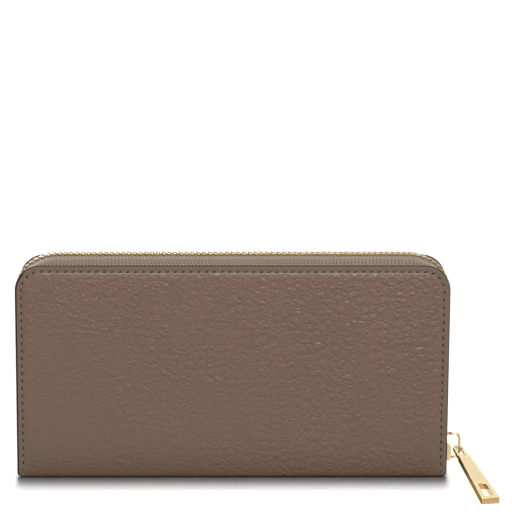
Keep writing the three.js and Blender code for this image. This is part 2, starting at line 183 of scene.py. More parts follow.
def closed_sheet(grid, thickness):
    """Points and faces of a closed sheet round a grid of points of shape rows x columns x 3."""
    normal = unit(np.cross(unit(np.gradient(grid, axis=0)), unit(np.gradient(grid, axis=1))))
    rows, columns = grid.shape[:2]
    top = (grid + normal * thickness / 2).reshape(-1, 3)
    under = (grid - normal * thickness / 2).reshape(-1, 3)
    count = rows * columns
    faces = [face[::-1] for face in grid_faces(rows, columns)]
    faces += grid_faces(rows, columns, count)
    index = np.arange(count).reshape(rows, columns)
    rim = np.concatenate([index[0, :-1], index[:-1, -1], index[-1, :0:-1], index[:0:-1, 0]])
    following = np.roll(rim, -1)
    faces += [[a, b, b + count, a + count] for a, b in zip(rim.tolist(), following.tolist())]
    return np.concatenate([top, under]), faces


def lofted(sections):
    """Points and faces of a solid through closed sections of shape rings x points x 3."""
    rings, sides = sections.shape[:2]
    faces = grid_faces(rings, sides, closed=True)
    faces.append(list(range(sides))[::-1])
    faces.append(list(range((rings - 1) * sides, rings * sides)))
    return sections.reshape(-1, 3), faces


def joined(parts):
    """One list of points and faces from several (points, faces) pairs."""
    points, faces, start = [], [], 0
    for more_points, more_faces in parts:
        points.append(more_points)
        faces += [[k + start for k in face] for face in more_faces]
        start += len(more_points)
    return np.concatenate(points), faces


def placed(points, origin, x_axis, y_axis, z_axis):
    """Points given along three axes, moved to an origin."""
    return np.asarray(origin) + points @ np.array([x_axis, y_axis, z_axis])


# ---- Smooth random fields
def hashed(ix, iy, seed):
    """Repeatable random numbers from 0 to 1 for whole-number cells."""
    n = ix.astype(np.int64) * 374761393 + iy.astype(np.int64) * 668265263 + seed * 974634777
    n = n & 0xFFFFFFFF
    n = ((n ^ (n >> 13)) * 1274126177) & 0xFFFFFFFF
    return ((n ^ (n >> 16)) & 0xFFFFFF) / float(0x1000000)


def smooth_noise(x, y, size, seed):
    """Value noise from -1 to 1 with features of about the given size."""
    x, y = x / size, y / size
    ix, iy = np.floor(x), np.floor(y)
    fx, fy = x - ix, y - iy
    fx, fy = (f * f * f * (f * (f * 6 - 15) + 10) for f in (fx, fy))
    corner = [[hashed(ix + i, iy + j, seed) for i in (0, 1)] for j in (0, 1)]
    low = corner[0][0] * (1 - fx) + corner[0][1] * fx
    high = corner[1][0] * (1 - fx) + corner[1][1] * fx
    return 2 * (low * (1 - fy) + high * fy) - 1


def cell_gap(x, y, size, seed):
    """How much further the second nearest centre of scattered cells is than the nearest, over size."""
    x, y = x / (size * CELL_STRETCH), y / size
    ix, iy = np.floor(x), np.floor(y)
    nearest = np.full(x.shape, 9.0)
    second = np.full(x.shape, 9.0)
    for i in (-1, 0, 1):
        for j in (-1, 0, 1):
            cx = ix + i + 0.5 + 0.86 * (hashed(ix + i, iy + j, seed) - 0.5)
            cy = iy + j + 0.5 + 0.86 * (hashed(ix + i, iy + j, seed + 1) - 0.5)
            distance = np.hypot(x - cx, y - cy)
            second = np.where(distance < nearest, nearest, np.minimum(second, distance))
            nearest = np.minimum(nearest, distance)
    return second - nearest


def ramp(value, low, high):
    """0 below low, 1 above high and smooth between them."""
    t = np.clip((value - low) / (high - low), 0, 1)
    return t * t * (3 - 2 * t)


def pebble(x, v):
    """Height of the hide's grain, from about 0 in a crease to 1 on a pebble."""
    wx = x + 0.9 * smooth_noise(x, v, 5.0, SEED) + 0.4 * smooth_noise(x, v, 2.0, SEED + 3)
    wv = v + 0.9 * smooth_noise(x, v, 5.0, SEED + 1) + 0.4 * smooth_noise(x, v, 2.0, SEED + 4)
    big = ramp(cell_gap(wx, wv, 3.7, SEED + 10), 0.0, 0.6)
    small = ramp(cell_gap(wx, wv, 1.8, SEED + 20), 0.0, 0.6)
    leftward = -x * np.sign(v) / HALF_WIDTH
    mixing = ramp(smooth_noise(x, v, 6.0, SEED + 5) + 0.4 * leftward, -0.8, 1.0)
    return big * (1 - 0.8 * mixing) + 0.8 * mixing * small


# ---- Materials
class Shader:
    """A new material's Principled shader, with short ways to add and wire nodes."""

    def __init__(self, name, roughness=0.5, specular=0.5, **values):
        self.material = bpy.data.materials.new(name)
        self.material.use_nodes = True
        self.tree = self.material.node_tree
        self.principled = next(n for n in self.tree.nodes if n.type == "BSDF_PRINCIPLED")
        self.look(Roughness=roughness, Specular_IOR_Level=specular, **values)

    def look(self, **values):
        """Sets or links inputs of the Principled shader."""
        self.set(self.principled, values)

    def feed(self, socket, value):
        """Links another node's output to an input, or sets the input's constant."""
        if isinstance(value, bpy.types.NodeSocket):
            self.tree.links.new(value, socket)
        else:
            socket.default_value = value

    def set(self, node, values):
        for name, value in values.items():
            self.feed(node.inputs[name.replace("_", " ")], value)

    def add(self, kind, settings=None, **values):
        """A new node, with inputs set or linked by name."""
        node = self.tree.nodes.new("ShaderNode" + kind)
        set_all(node, settings or {})
        self.set(node, values)
        return node

    def fed(self, kind, settings, *values):
        """A new node, with its first inputs set or linked in their order."""
        node = self.add(kind, settings)
        for socket, value in zip(node.inputs, values):
            self.feed(socket, value)
        return node

    def math(self, operation, a, b=0.0, clamp=False):
        return self.fed("Math", {"operation": operation, "use_clamp": clamp}, a, b).outputs[0]

    def plus(self, a, b):
        return self.math("ADD", a, b)

    def minus(self, a, b, clamp=False):
        return self.math("SUBTRACT", a, b, clamp)

    def times(self, a, b, clamp=False):
        return self.math("MULTIPLY", a, b, clamp)

    def mix(self, factor, a, b):
        """The colour a where the factor is 0 and the colour b where it is 1."""
        node = self.add("Mix", {"data_type": "RGBA"})
        for number, value in ((0, factor), (6, a), (7, b)):
            self.feed(node.inputs[number], value)
        return node.outputs[2]

    def in_mm(self, vector):
        scaled = self.add("VectorMath", {"operation": "SCALE"}, Vector=vector, Scale=1 / MM)
        parts = self.add("SeparateXYZ", Vector=scaled.outputs[0])
        return scaled.outputs[0], *parts.outputs

    def uv(self):
        """The surface layer's coordinates in millimetres, as a vector, u and v."""
        layer = self.add("UVMap", {"uv_map": "surface"})
        return self.in_mm(layer.outputs[0])[:3]

    def place(self):
        """The point's place on the object in millimetres, as a vector and its three parts."""
        return self.in_mm(self.add("TexCoord").outputs["Object"])

    def noise(self, vector, size, detail=2.0, roughness=0.5):
        values = {"Scale": 1 / size, "Detail": detail, "Roughness": roughness}
        return self.add("TexNoise", Vector=vector, **values).outputs[0]

    def cells(self, vector, size):
        """Distance to the edges of scattered cells."""
        settings = {"feature": "DISTANCE_TO_EDGE"}
        return self.add("TexVoronoi", settings, Vector=vector, Scale=1 / size).outputs[0]

    def wave(self, coordinate, period):
        """A sine from 0 to 1 along a coordinate."""
        turned = self.times(coordinate, 2 * math.pi / period)
        return self.times(self.plus(self.math("SINE", turned), 1.0), 0.5)

    def bump(self, height, depth, strength):
        """Height from 0 to 1, depth in millimetres."""
        node = self.add("Bump", Strength=strength, Distance=depth * MM, Height=height)
        self.look(Normal=node.outputs[0])


def rgb(red, green, blue):
    """A colour given as it looks on a screen, from 0 to 255."""
    shown = [c / 255 for c in (red, green, blue)]
    linear = [c / 12.92 if c <= 0.04045 else ((c + 0.055) / 1.055) ** 2.4 for c in shown]
    return (*linear, 1.0)


def grained_hide():
    """Taupe pebbled calf: duller in its creases, which painted shade darkens, with fine pores. The smooth
    border is a little greener."""
    s = Shader("hide_grain", 0.4, 0.4)
    vector, *_ = s.uv()
    height = s.add("Attribute", {"attribute_name": "grain"}).outputs["Fac"]
    faint = s.add("Attribute", {"attribute_name": "pebbled"}).outputs["Fac"]
    patchy = s.noise(vector, 26.0, detail=3.0)
    speckle = s.noise(vector, 0.5, detail=3.0, roughness=0.7)
    colour = s.mix(patchy, rgb(90, 68, 54), rgb(84, 62, 49))
    colour = s.mix(s.times(speckle, 0.4), colour, rgb(76, 56, 44))
    smooth = s.minus(1.0, faint, clamp=True)
    colour = s.mix(smooth, colour, rgb(80, 64, 51))
    crease = s.minus(1.0, height, clamp=True)
    # Painted shade: the colour darkens towards rgb(60, 42, 33) in the creases and along the stitching's
    # groove.
    colour = s.mix(s.times(crease, 0.16), colour, rgb(60, 42, 33))
    rough = s.plus(0.34, s.times(crease, 0.2))
    s.look(Base_Color=colour, Roughness=rough)
    warp = s.add("TexNoise", Vector=vector, Scale=0.6, Detail=2.0).outputs["Color"]
    settings = {"operation": "MULTIPLY_ADD"}
    bent = s.fed("VectorMath", settings, warp, (0.8, 0.8, 0.0), vector)
    pebbles = s.times(s.cells(bent.outputs[0], 2.1), 3.4, clamp=True)
    pores = s.times(s.cells(vector, 0.6), 2.2, clamp=True)
    fine = s.plus(s.times(pores, 0.1), s.times(speckle, 0.08))
    s.bump(s.plus(fine, s.times(pebbles, faint)), 0.17, 0.9)
    return s.material


def fine_leather(name, light, dark):
    """Thin split leather: an even, fine grain."""
    s = Shader(name, 0.58, 0.35)
    vector, *_ = s.place()
    cells = s.times(s.cells(vector, 0.8), 2.0, clamp=True)
    patchy = s.noise(vector, 18.0, detail=3.0)
    colour = s.mix(patchy, light, dark)
    s.look(Base_Color=s.mix(s.times(s.minus(1.0, cells), 0.3), colour, dark))
    s.bump(s.plus(cells, s.times(s.noise(vector, 0.3), 0.4)), 0.05, 0.6)
    return s.material


def mottled(name, look, noise, bump, dark, light):
    """A dull surface in uneven patches of two colours. look is its roughness and specular level,
    noise the patches' size, detail and roughness, and bump their depth and strength, if any."""
    s = Shader(name, *look)
    vector, *_ = s.place()
    patches = s.noise(vector, *noise)
    s.look(Base_Color=s.mix(patches, dark, light))
    if bump:
        s.bump(patches, *bump)
    return s.material


def thread():
    """Waxed two-ply thread: the plies show as slanted bands."""
    s = Shader("stitch_thread", 0.6, 0.3)
    _, x, y, z = s.place()
    slant = s.plus(x, s.plus(z, s.times(y, 0.7)))
    plies = s.wave(slant, 0.5)
    s.look(Base_Color=s.mix(plies, rgb(84, 66, 55), rgb(104, 84, 71)))
    s.bump(plies, 0.05, 0.6)
    return s.material


def zip_tape():
    """Woven polyester tape: herringbone rows along it, with threads coarse enough to see."""
    s = Shader("zip_tape_weave", 0.78, 0.25, Sheen_Weight=0.25, Sheen_Roughness=0.4)
    vector, u, v = s.uv()
    folded = s.math("PINGPONG", v, 2.0)
    twill = s.wave(s.plus(u, folded), 1.5)
    ends = s.wave(v, 1.3)
    weave = s.plus(s.times(twill, 0.65), s.times(ends, 0.35))
    fuzz = s.noise(vector, 0.35, detail=3.0, roughness=0.7)
    colour = s.mix(weave, rgb(46, 36, 29), rgb(126, 107, 92))
    s.look(Base_Color=s.mix(s.times(fuzz, 0.3), colour, rgb(84, 69, 58)))
    s.bump(s.plus(weave, s.times(fuzz, 0.3)), 0.16, 0.8)
    return s.material


def lining_cloth():
    """A plain twill lining."""
    s = Shader("lining_twill", 0.8, 0.25, Sheen_Weight=0.2, Sheen_Roughness=0.4)
    vector, x, y, z = s.place()
    twill = s.wave(s.plus(x, s.plus(z, y)), 0.9)
    cross = s.wave(s.minus(x, z), 0.45)
    weave = s.plus(s.times(twill, 0.7), s.times(cross, 0.3))
    patchy = s.noise(vector, 15.0, detail=3.0)
    colour = s.mix(weave, rgb(78, 62, 52), rgb(104, 85, 73))
    s.look(Base_Color=s.mix(s.times(patchy, 0.3), colour, rgb(88, 71, 60)))
    s.bump(weave, 0.09, 0.7)
    return s.material


def gold(name, roughness, light, dark, edge=(1, 1, 1, 1)):
    """Gold plating: nearly smooth, with faint polishing marks and slightly deeper gold in patches."""
    s = Shader(name, roughness, Metallic=1.0, Specular_Tint=edge)
    vector, *_ = s.place()
    marks = s.noise(vector, 0.8, detail=4.0, roughness=0.65)
    colour = s.mix(s.times(marks, 0.6), light, dark)
    s.look(Base_Color=colour, Roughness=s.plus(roughness - 0.04, s.times(marks, 0.09)))
    s.bump(marks, 0.02, 0.35)
    return s.material


HIDE_MATERIAL = grained_hide()
EDGE_MATERIAL = mottled("edge_paint", (0.6, 0.12), (2.5, 3.0), (0.08, 0.5), rgb(26, 17, 12), rgb(40, 28, 21))
SLOT_LEATHER = fine_leather("slot_leather_grain", rgb(98, 79, 67), rgb(84, 66, 55))
GUSSET_LEATHER = fine_leather("gusset_leather_grain", rgb(92, 73, 61), rgb(78, 60, 50))
THREAD = thread()
# Painted shade: each awl hole is a dark bead standing on the hide, not a real hole.
HOLE_SHADE = mottled("stitch_hole", (0.9, 0.1), (0.6,), None, rgb(34, 22, 17), rgb(50, 35, 28))
TAPE = zip_tape()
LINING = lining_cloth()
BOARD = mottled("bonded_board", (0.9, 0.2), (1.2, 6.0, 0.75), (0.1, 0.6), rgb(70, 55, 44), rgb(104, 86, 70))
GOLD = gold("gold_polished", 0.17, rgb(224, 206, 160), rgb(208, 183, 126))
SATIN_GOLD = gold("gold_satin", 0.34, rgb(224, 206, 160), rgb(208, 183, 126))
# Painted reflection: the teeth and stops get a darker brown gold, which stands in for dark surroundings
# reflected in them.
DARKENED_TEETH_GOLD = gold("gold_teeth", 0.22, rgb(150, 128, 86), rgb(98, 76, 44))
# Darker copies of the pull's gold: painted shade in its openings and on its tip's end, and a painted dark
# reflection on its long outer sides.
SHADED_END_GOLD = gold("gold_end", 0.26, rgb(190, 162, 112), rgb(172, 140, 88))
SHADED_SIDE_GOLD = gold("gold_side", 0.3, rgb(136, 98, 52), rgb(110, 76, 38), edge=rgb(228, 206, 172))


# ---- The covers' outline
def inset_of(x, z):
    """How far a point lies inside the cover's outline, whose lower edge is open."""
    dx = np.abs(x) - (HALF_WIDTH - CORNER_R)
    dz = z - (PANEL_TOP - CORNER_R)
    straight = np.minimum(HALF_WIDTH - np.abs(x), PANEL_TOP - z)
    return np.where((dx > 0) & (dz > 0), CORNER_R - np.hypot(dx, dz), straight)


def outline_path(inset, bottom, step):
    """Points and tangents along the cover's outline, from the lower left round to the lower right."""
    side, top, r = HALF_WIDTH - inset, PANEL_TOP - inset, CORNER_R - inset
    turns = np.radians(np.linspace(180, 90, 40))
    left = np.stack([-side + r + r * np.cos(turns), top - r + r * np.sin(turns)], 1)
    right = (left * [-1, 1])[::-1]
    line = np.concatenate([[[-side, bottom]], left, right, [[side, bottom]]])
    lengths = lengths_along(line)
    along = np.arange(step / 2, lengths[-1], step)
    ahead = points_at(line, lengths, along + 0.05)
    behind = points_at(line, lengths, along - 0.05)
    return points_at(line, lengths, along), unit(ahead - behind)


# ---- The hide: for each cover, one piece from the middle of the spine round the fold and up
RIM = HIDE / 2  # half the edge's thickness
RIM_BULGE = 0.4  # how far the rounded edge stands out from the grid of its outer face
RIM_LOOPS = 5  # loops of points round the rounded edge
EDGE_PAINT = 0.75  # how far the paint runs onto the face
LEFT_LEAN = 0.8  # how far the left edge leans out at its foot
GRAIN_HEIGHT = 0.225
GROOVE_DEPTH = 0.22  # the groove that the stitching lies in
GROOVE_HALF = 0.6
CROWN = 0.6  # how far the panel swells inside its stitching
EDGE_PRESS = 0.16  # how far the border is pressed down at its edge
FLAT = HALF_DEPTH - SPINE_R
FOLD = FLAT + SPINE_R * math.pi / 2


def hide_profile(v):
    """Depth, height and outward normal of the outer face, at v along it from mid-spine."""
    turn = np.clip((v - FLAT) / SPINE_R, 0, math.pi / 2)
    depth = np.minimum(v, FLAT) + SPINE_R * np.sin(turn)
    z = SPINE_R * (1 - np.cos(turn)) + np.maximum(v - FOLD, 0)
    return depth, z, np.sin(turn), -np.cos(turn)


def below_profile(v, below):
    """Changes in depth and height from the outer face to a layer below, uncrossed in the fold."""
    r = max(SPINE_R - below, 0.15)
    turn = np.clip((v - FLAT) / SPINE_R, 0, math.pi / 2)
    rise = np.maximum(v - FOLD, 0)
    depth = np.minimum(v, FLAT) * (HALF_DEPTH - below - r) / FLAT + r * np.sin(turn)
    z = below + r * (1 - np.cos(turn)) + rise + (SPINE_R - below - r) * np.minimum(rise / 10, 1)
    outer_depth, outer_z, _, _ = hide_profile(v)
    return depth - outer_depth, z - outer_z


def rounded_corner(x, z, half_width, top, radius):
    """Moves a square grid's points so that its upper corners become arcs."""
    block = 2 * radius
    a = np.abs(x) - (half_width - block)
    b = z - (top - block)
    m = np.maximum(np.maximum(a, b), 1e-6)
    r = radius * np.clip(m / block, 0, 1)
    run = m - r
    total = 2 * run + r * math.pi / 2
    s = np.where(a >= b, b, 2 * m - a) / (2 * m) * total
    turn = np.clip((s - run) / r, 0, math.pi / 2)
    new_a = np.where(s < run, m, np.where(s > total - run, total - s, run + r * np.cos(turn)))
    new_b = np.where(s < run, s, np.where(s > total - run, m, run + r * np.sin(turn)))
    inside = (a > 0) & (b > 0)
    new_x = np.sign(x) * (new_a + half_width - block)
    return np.where(inside, new_x, x), np.where(inside, new_b + top - block, z)


def relief(x, z, v, side):
    """For points of the outer face: height above the plain hide, grain from 0 in a crease to 1 on a
    pebble, and how strongly pebbled."""
    inset = inset_of(x, z)
    w = side * v
    grain = pebble(x, w)
    uneven = smooth_noise(x, w, 22.0, SEED + 7) + 0.5 * smooth_noise(x, w, 8.0, SEED + 8)
    strength = 0.68 + 0.14 * uneven + 0.002 * x * side + 0.5 * ramp(z, 0, PANEL_TOP)
    grained = ramp(inset, STITCH_INSET + 0.2, STITCH_INSET + 2.2)
    faint = 0.1 + 0.9 * grained
    height = GRAIN_HEIGHT * strength * faint * (grain - 0.75)
    groove = np.exp(-(((inset - STITCH_INSET) / GROOVE_HALF) ** 2))
    height -= GROOVE_DEPTH * groove
    height *= 0.25 + 0.75 * ramp(z, 1.0, 9.0)
    swell = 1 - np.exp(-np.maximum(inset - STITCH_INSET, 0) / 2.2)
    height += CROWN * swell * ramp(v, FOLD - 6, FOLD + 12)
    height -= EDGE_PRESS * np.exp(-inset / 0.5)
    strong = np.clip(strength, 0, 1.2)
    shown = 1 - faint * strong * (1 - grain)
    # The grain is lowered along the stitching's groove, which gives the hide painted shade there.
    return height, np.clip(shown - 0.35 * groove, 0, 1), grained * strong


def leaning(x, z):
    """Widens the left half towards the foot, so that its edge leans out."""
    return np.where(x < 0, x * (1 + LEFT_LEAN / HALF_WIDTH * (1 - z / PANEL_TOP)), x)


def hide_face(side):
    """The outer face as a grid: points, normals, v, surface coordinates, grain, pebbling, paint."""
    half = HALF_WIDTH - RIM_BULGE
    top = PANEL_TOP - RIM_BULGE
    length = FOLD + top - SPINE_R
    down = np.linspace(0, length, int(length / GRAIN_STEP) + 1)
    across = np.linspace(-half, half, int(2 * half / GRAIN_STEP) + 1)
    v, x = np.meshgrid(down, across, indexing="ij")
    depth, z, out_depth, out_z = hide_profile(v)
    x, z = rounded_corner(x, z, half, top, CORNER_R - RIM_BULGE)
    foot = np.clip(1 - z / FOOT_R, 0, 1)
    x = x * (1 - FOOT_R * (1 - np.sqrt(1 - foot**2)) / half)
    height, grain, pebbled = relief(x, z, v, side)
    height = height * ramp(z, -0.5, 2.5)
    painted = inset_of(x, z)[:-1, :-1] < EDGE_PAINT
    y = -(depth + height * out_depth)
    points = np.stack([leaning(x, z), y, np.maximum(z + height * out_z, 0)], -1)
    normals = np.stack([0 * x, -out_depth, out_z], -1)
    return points, normals, v, np.stack([x, side * v], -1), grain, pebbled, painted


def rim_loops(points, normals, v):
    """Loops of points from the rim of the outer face round the edge to the inner face."""
    outward = unit(np.cross(normals, np.gradient(points, axis=0)))
    outward[[0, -1]] = [[-1, 0, 0], [1, 0, 0]]
    loops = []
    for turn in np.linspace(0, math.pi, RIM_LOOPS + 1)[1:]:
        deeper, higher = below_profile(v, RIM * (1 - math.cos(turn)))
        offset = np.stack([0 * deeper, -deeper, higher], -1) + outward * RIM_BULGE * math.sin(turn)
        loops.append(points + offset)
    return loops


def hide_faces(rows, columns, rings, painted):
    """The hide's faces and their materials, 0 for hide and 1 for paint: outer face, edge, inner face
    and the cut end in the middle of the spine."""
    faces = grid_faces(rows, columns)
    materials = painted.astype(int).ravel().tolist()
    for a, b in zip(rings, rings[1:]):
        strip = np.stack([a[:-1], b[:-1], b[1:], a[1:]], -1).tolist()
        faces += strip
        materials += [1] * len(strip)
    inner = rings[-1].tolist()
    opposite = inner[::-1]
    for k in range(rows - 1):
        faces.append([inner[k], opposite[k], opposite[k + 1], inner[k + 1]])
    faces.append(inner[rows - 1 : len(inner) - rows + 1])
    materials += [0] * rows
    right_end = [int(ring[-1]) for ring in rings[1:]]
    left_end = [int(ring[0]) for ring in rings[:0:-1]]
    faces.append([*range(columns), *right_end, *left_end][::-1])
    materials.append(1)
    return faces, materials


def hide_piece(cover):
    side = 1 if cover == "front" else -1
    grid, normals, v, surface, grain, pebbled, painted = hide_face(side)
    rows, columns = v.shape
    index = np.arange(rows * columns).reshape(rows, columns)
    rim = np.concatenate([index[:, 0], index[-1, 1:-1], index[::-1, -1]])
    outer, surface = grid.reshape(-1, 3), surface.reshape(-1, 2)
    loops = rim_loops(outer[rim], normals.reshape(-1, 3)[rim], v.ravel()[rim])
    rings = [rim] + [np.arange(len(rim)) + len(outer) + k * len(rim) for k in range(RIM_LOOPS)]
    faces, face_materials = hide_faces(rows, columns, rings, painted)
    uv = np.concatenate([surface, *[surface[rim]] * RIM_LOOPS])
    points, faces = for_side(cover, np.concatenate([outer, *loops]), faces)
    both = [HIDE_MATERIAL, EDGE_MATERIAL]
    made = mesh_object(f"{cover}_hide", points, faces, both, face_materials, uv=uv)
    for attribute, values, rest in (("grain", grain, 1), ("pebbled", pebbled, 0)):
        full = np.full(len(points), rest, np.float32)
        full[: len(outer)] = values.ravel()
        made.data.attributes.new(attribute, "FLOAT", "POINT").data.foreach_set("value", full)
    nodes = [f"{cover}_cover_leather"] + (["spine_leather"] if cover == "front" else [])
    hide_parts(*nodes)
    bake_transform(made)


# ---- Stitching
def bead(length, width, height, rings=7, sides=8):
    """A stitch or slit: a long rounded bead along x, with z outward."""
    t = np.linspace(-1, 1, rings)
    swell = np.sqrt(np.clip(1 - (0.96 * t) ** 4, 0, 1))
    turn = full_turn(sides)
    section = np.stack([np.cos(turn), np.sin(turn)], -1)
    sections = np.zeros((rings, sides, 3))
    sections[:, :, 0] = (t * length / 2)[:, None]
    sections[:, :, 1] = swell[:, None] * section[:, 0] * width / 2
    sections[:, :, 2] = swell[:, None] * section[:, 1] * height / 2 - (t**4 * 0.12)[:, None]
    return lofted(sections)


STITCH_SLANT = math.radians(14)
STITCH_WAVER = 0.06  # how far a stitch strays from its place
LOWEST_STITCH = 1.8  # a stitch below this would reach the floor
# Place along the stitch's pitch, bead, how proud it stands and slant, for a stitch and for a hole, whose
# dark bead is painted shade.
STITCH_PARTS = (
    (0, bead(2.1, 0.5, 0.42), 0.03, STITCH_SLANT / 2),
    (STITCH_PITCH / 2, bead(1.8, 0.66, 0.16), 0.08, STITCH_SLANT),
)


def stitches(cover):
    """One thread's slanted stitches, each between two awl holes, round three sides of a cover."""
    point, tangent = outline_path(STITCH_INSET, 0.1, STITCH_PITCH)
    bed = HALF_DEPTH - 0.2
    parts, materials = [], []
    for k, ((x, z), (tx, tz)) in enumerate(zip(point, tangent)):
        along = np.array([tx, 0, tz])
        across = np.array([-tz, 0, tx])
        for index, (shift, shape, proud, lean) in enumerate(STITCH_PARTS):
            stray = STITCH_WAVER * math.sin(12.9 * k + 4 * index)
            direction = along * math.cos(lean) + across * math.sin(lean)
            side = across * math.cos(lean) - along * math.sin(lean)
            spot = np.array([leaning(x, z), -bed - proud, z])
            centre = spot + along * (shift + stray) + across * stray
            if centre[2] < LOWEST_STITCH:
                continue
            points = placed(shape[0], centre, direction, side, np.array([0, -1, 0]))
            parts.append((points, shape[1]))
            materials += [index] * len(shape[1])
    points, faces = for_side(cover, *joined(parts))
    made = mesh_object(f"{cover}_stitches", points, faces, [THREAD, HOLE_SHADE], materials)
    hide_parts(f"{cover}_stitching")
    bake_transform(made)


# ---- The main zip
def zip_stations(bottom, side_steps=40, corner_steps=26, top_steps=90):
    """Matched points of the cover's edge, its outward normal and the zip's centre line, as X and Z,
    from the lower right round to the lower left."""
    edge, out, line = [], [], []

    def corner(sign):
        turns = np.radians(np.linspace(0, 90, corner_steps))[::sign]
        c, s = np.cos(turns), np.sin(turns)

        def arc(side, top, rx, rz):
            return np.stack([sign * (side - rx + rx * c), top - rz + rz * s], 1)

        cover = arc(HALF_WIDTH, PANEL_TOP, CORNER_R, CORNER_R)
        return cover, np.stack([sign * c, s], 1), arc(ZIP_SIDE, ZIP_TOP, *ZIP_CORNER)

    def between(a, b, steps):
        t = np.linspace(0, 1, steps, endpoint=False)[:, None]
        return [np.asarray(p) * (1 - t) + np.asarray(q) * t for p, q in zip(a, b)]

    right, left = corner(1), corner(-1)
    first = ([HALF_WIDTH, bottom], [1, 0], [ZIP_SIDE, bottom])
    last = ([-HALF_WIDTH, bottom], [-1, 0], [-ZIP_SIDE, bottom])
    ends = [[part[k] for part in shape] for shape in (right, left) for k in (0, -1)]
    stretches = [
        between(first, ends[0], side_steps),
        [part[:-1] for part in right],
        between(ends[1], ends[2], top_steps),
        [part[:-1] for part in left],
        between(ends[3], last, side_steps),
        [np.array([part]) for part in last],
    ]
    for stretch in stretches:
        for store, more in zip((edge, out, line), stretch):
            store.append(more)
    return [np.concatenate(store) for store in (edge, out, line)]


def at_depth(point, depth):
    """X and Z pairs as points at a depth in front of the middle plane."""
    return np.stack([point[:, 0], np.full(len(point), -float(depth)), point[:, 1]], -1)


TAPE_CORD = (1.75, 0.62, 10)  # depth, radius and sides of the cord that the teeth are clamped on
TAPE_ENDING = ((0.42, 3.6), (0.28, 2.6), (0.0, 1.5))  # share of the sag, and depth, by the teeth


def tape_columns(edge, out, line, sag):
    """Lines along the tape, from its sewn band over a curve to the teeth. sag is a unit of the
    curve's fall next to the teeth."""
    sewn = [at_depth(edge - out * inset, TAPE_DEPTH) for inset in TAPE_SEWN]
    columns = [sewn[0] * (1 - t) + sewn[1] * t for t in (0, 0.35, 0.7)]
    p0, p1 = sewn[1], at_depth(edge - out * 0.5, TAPE_DEPTH - 1.6)
    p2, p3 = at_depth(line - 0.7 * sag, 8.0), at_depth(line - 0.5 * sag, 4.8)
    for t in np.linspace(0, 1, 14):
        first, second = p0 * (1 - t) ** 3, 3 * p1 * t * (1 - t) ** 2
        columns.append(first + second + 3 * p2 * t * t * (1 - t) + p3 * t**3)
    return columns + [at_depth(line - drop * sag, depth) for drop, depth in TAPE_ENDING]


def tape_piece(cover):
    """The woven tape with its cord. The front one sags more from the teeth than the back one."""
    edge, out, line = zip_stations(TAPE_LOW[2])
    sag = out if cover == "front" else 0.25 * out
    grid = np.stack(tape_columns(edge, out, line, sag), 1)
    lengths = lengths_along(line)
    widths = np.linalg.norm(np.diff(grid, axis=1), axis=2)
    across = np.concatenate([np.zeros((len(grid), 1)), np.cumsum(widths, 1)], 1)
    uv = np.stack([np.broadcast_to(lengths[:, None], across.shape), across], -1).reshape(-1, 2)
    depth, radius, sides = TAPE_CORD
    rings = radius * ring_round(at_depth(out, 0), sides)
    cord = lofted(at_depth(line, depth)[:, None, :] + rings)
    cord_uv = [np.repeat(lengths, sides), np.tile(full_turn(sides) * radius, len(line))]
    points, faces = for_side(cover, *joined([closed_sheet(grid, TAPE_THICK), cord]))
    uv = np.concatenate([uv, uv, np.stack(cord_uv, -1)])
    made = mesh_object(f"{cover}_tape", points, faces, [TAPE], uv=uv)
    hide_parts(f"{cover}_zip_tape")
    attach(made, f"{cover}_cover")


def rounded_ring(half_wide, half_thick, radius, steps=2):
    """A rounded rectangle as a ring of points."""
    radius = min(radius, half_wide * 0.98, half_thick * 0.98)
    wide, thick = half_wide - radius, half_thick - radius
    ring = []
    for corner, (sx, sy) in enumerate(((1, 1), (-1, 1), (-1, -1), (1, -1))):
        for step in range(steps + 1):
            turn = math.radians(90 * corner + 90 * step / steps)
            ring.append((sx * wide + radius * math.cos(turn), sy * thick + radius * math.sin(turn)))
    return np.array(ring)


def tooth(far, thick, head=0.62, wide=1.5):
    """One tooth, x along the zip, y from the head that meshes to the legs on the tape, z outward.
    Each section below has its y, and its half width and thickness as shares of the tooth's."""
    shape = [
        (head, 0.26, 0.62),
        (head - 0.12, 0.36, 0.78),
        (head - 0.5, 0.40, 0.86),
        (0.0, 0.40, 0.86),
        (-0.3, 0.44, 0.88),
        (-0.75, 0.50, 0.94),
        (-1.0, 0.5, 1.0),
        (-far + 0.18, 0.5, 1.0),
        (-far, 0.42, 0.86),
    ]
    sections = []
    for y, w, t in shape:
        ring = rounded_ring(w * wide, t * thick / 2, 0.28)
        sections.append(np.stack([ring[:, 0], np.full(len(ring), y), ring[:, 1]], -1))
    return lofted(np.array(sections)[::-1])


def along_line(line, positions):
    """Points, tangents and outward normals at lengths along an X-Z line."""
    lengths = lengths_along(line)
    ahead = points_at(line, lengths, positions + 0.4)
    tangent = unit(ahead - points_at(line, lengths, positions - 0.4))
    normal = np.stack([tangent[:, 1], -tangent[:, 0]], 1)
    return points_at(line, lengths, positions), tangent, normal


def teeth_piece(cover):
    """A row of separate teeth."""
    _, _, line = zip_stations(TEETH_LOW[2] + 0.3)
    start = ROW_START[cover] * TOOTH_PITCH + TOOTH_MARGINS[0]
    positions = np.arange(start, lengths_along(line)[-1] - TOOTH_MARGINS[1], TOOTH_PITCH)
    point, tangent, normal = along_line(line, positions)
    shape, faces = tooth(ZIP_FAR, ZIP_THICK)
    parts = []
    for (x, z), (tx, tz), (nx, nz) in zip(point, tangent, normal):
        spot = placed(shape, np.array([x, 0, z]), [tx, 0, tz], [0, 1, 0], [nx, 0, nz])
        parts.append((spot, faces))
    points, faces = for_side(cover, *joined(parts))
    made = mesh_object(f"{cover}_teeth", points, faces, [DARKENED_TEETH_GOLD])
    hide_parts(f"{cover}_zip_teeth")
    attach(made, f"{cover}_cover")


